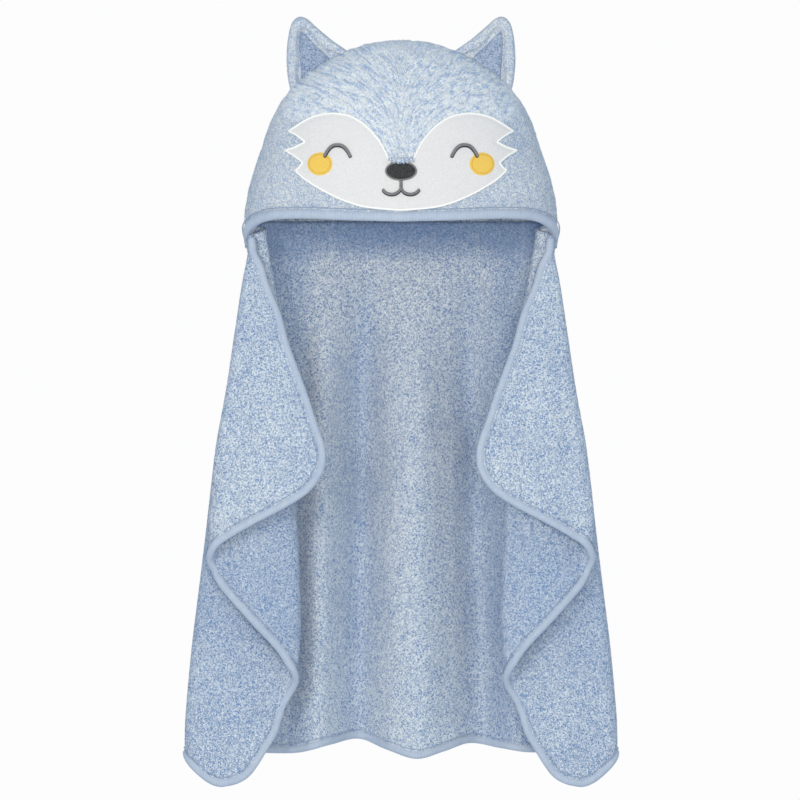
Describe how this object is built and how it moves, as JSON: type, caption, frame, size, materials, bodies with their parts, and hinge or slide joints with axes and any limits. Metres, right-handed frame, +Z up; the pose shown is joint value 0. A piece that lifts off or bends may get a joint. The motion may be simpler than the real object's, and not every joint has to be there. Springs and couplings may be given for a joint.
{
  "type": "hooded baby towel",
  "caption": "Hooded baby towel of plush pile cloth with a domed animal-face hood, padded ears, wide front flaps pleated at the sides and bound edges.",
  "frame": {"origin": "outer top of the hood's crown seam, in the seam plane", "axes": "+X to the right as seen from the front, +Y towards the back panel, +Z up from the hem to the crown"},
  "size_m": [0.5146, 0.1705, 0.8983],
  "materials": {
    "plush": "soft cut pile in pale blue",
    "lining": "flat knit in pale blue",
    "binding": "smooth knit bias binding in pale blue",
    "white_felt": "brushed felt in white",
    "white_thread": "satin stitch in white",
    "nose_felt": "dense fill stitch in charcoal",
    "grey_thread": "satin stitch in grey",
    "yellow_felt": "brushed felt in yellow",
    "ear_felt": "short plush in mid blue",
    "wadding": "polyester wadding"
  },
  "bodies": {
    "root": {"towel_body": "plush", "edge_binding": "binding", "hood_front_panel": "plush", "hood_front_lining": "lining", "hood_back_panel": "plush", "hood_rim_binding": "binding", "face_patch": "white_felt", "face_patch_border": "white_thread", "nose": "nose_felt", "nose_outline": "grey_thread", "mouth": "grey_thread", "left_eye": "grey_thread", "right_eye": "grey_thread", "left_cheek": "yellow_felt", "right_cheek": "yellow_felt"},
    "left_ear": {"left_ear_front": "plush", "left_ear_back": "plush", "left_ear_inner": "ear_felt", "left_ear_wadding": "wadding"},
    "right_ear": {"right_ear_front": "plush", "right_ear_back": "plush", "right_ear_inner": "ear_felt", "right_ear_wadding": "wadding"}
  },
  "joints": [
    {"name": "left_ear_flop", "type": "hinge", "parent": "root", "child": "left_ear", "pos_m": [-0.10264, 0, -0.02383], "axis": [0.8499, 0, 0.527], "range_deg": [-20, 20], "stiffness_Nm_per_rad": 0.08},
    {"name": "right_ear_flop", "type": "hinge", "parent": "root", "child": "right_ear", "pos_m": [0.10264, 0, -0.02383], "axis": [0.8499, 0, -0.527], "range_deg": [-20, 20], "stiffness_Nm_per_rad": 0.08}
  ]
}
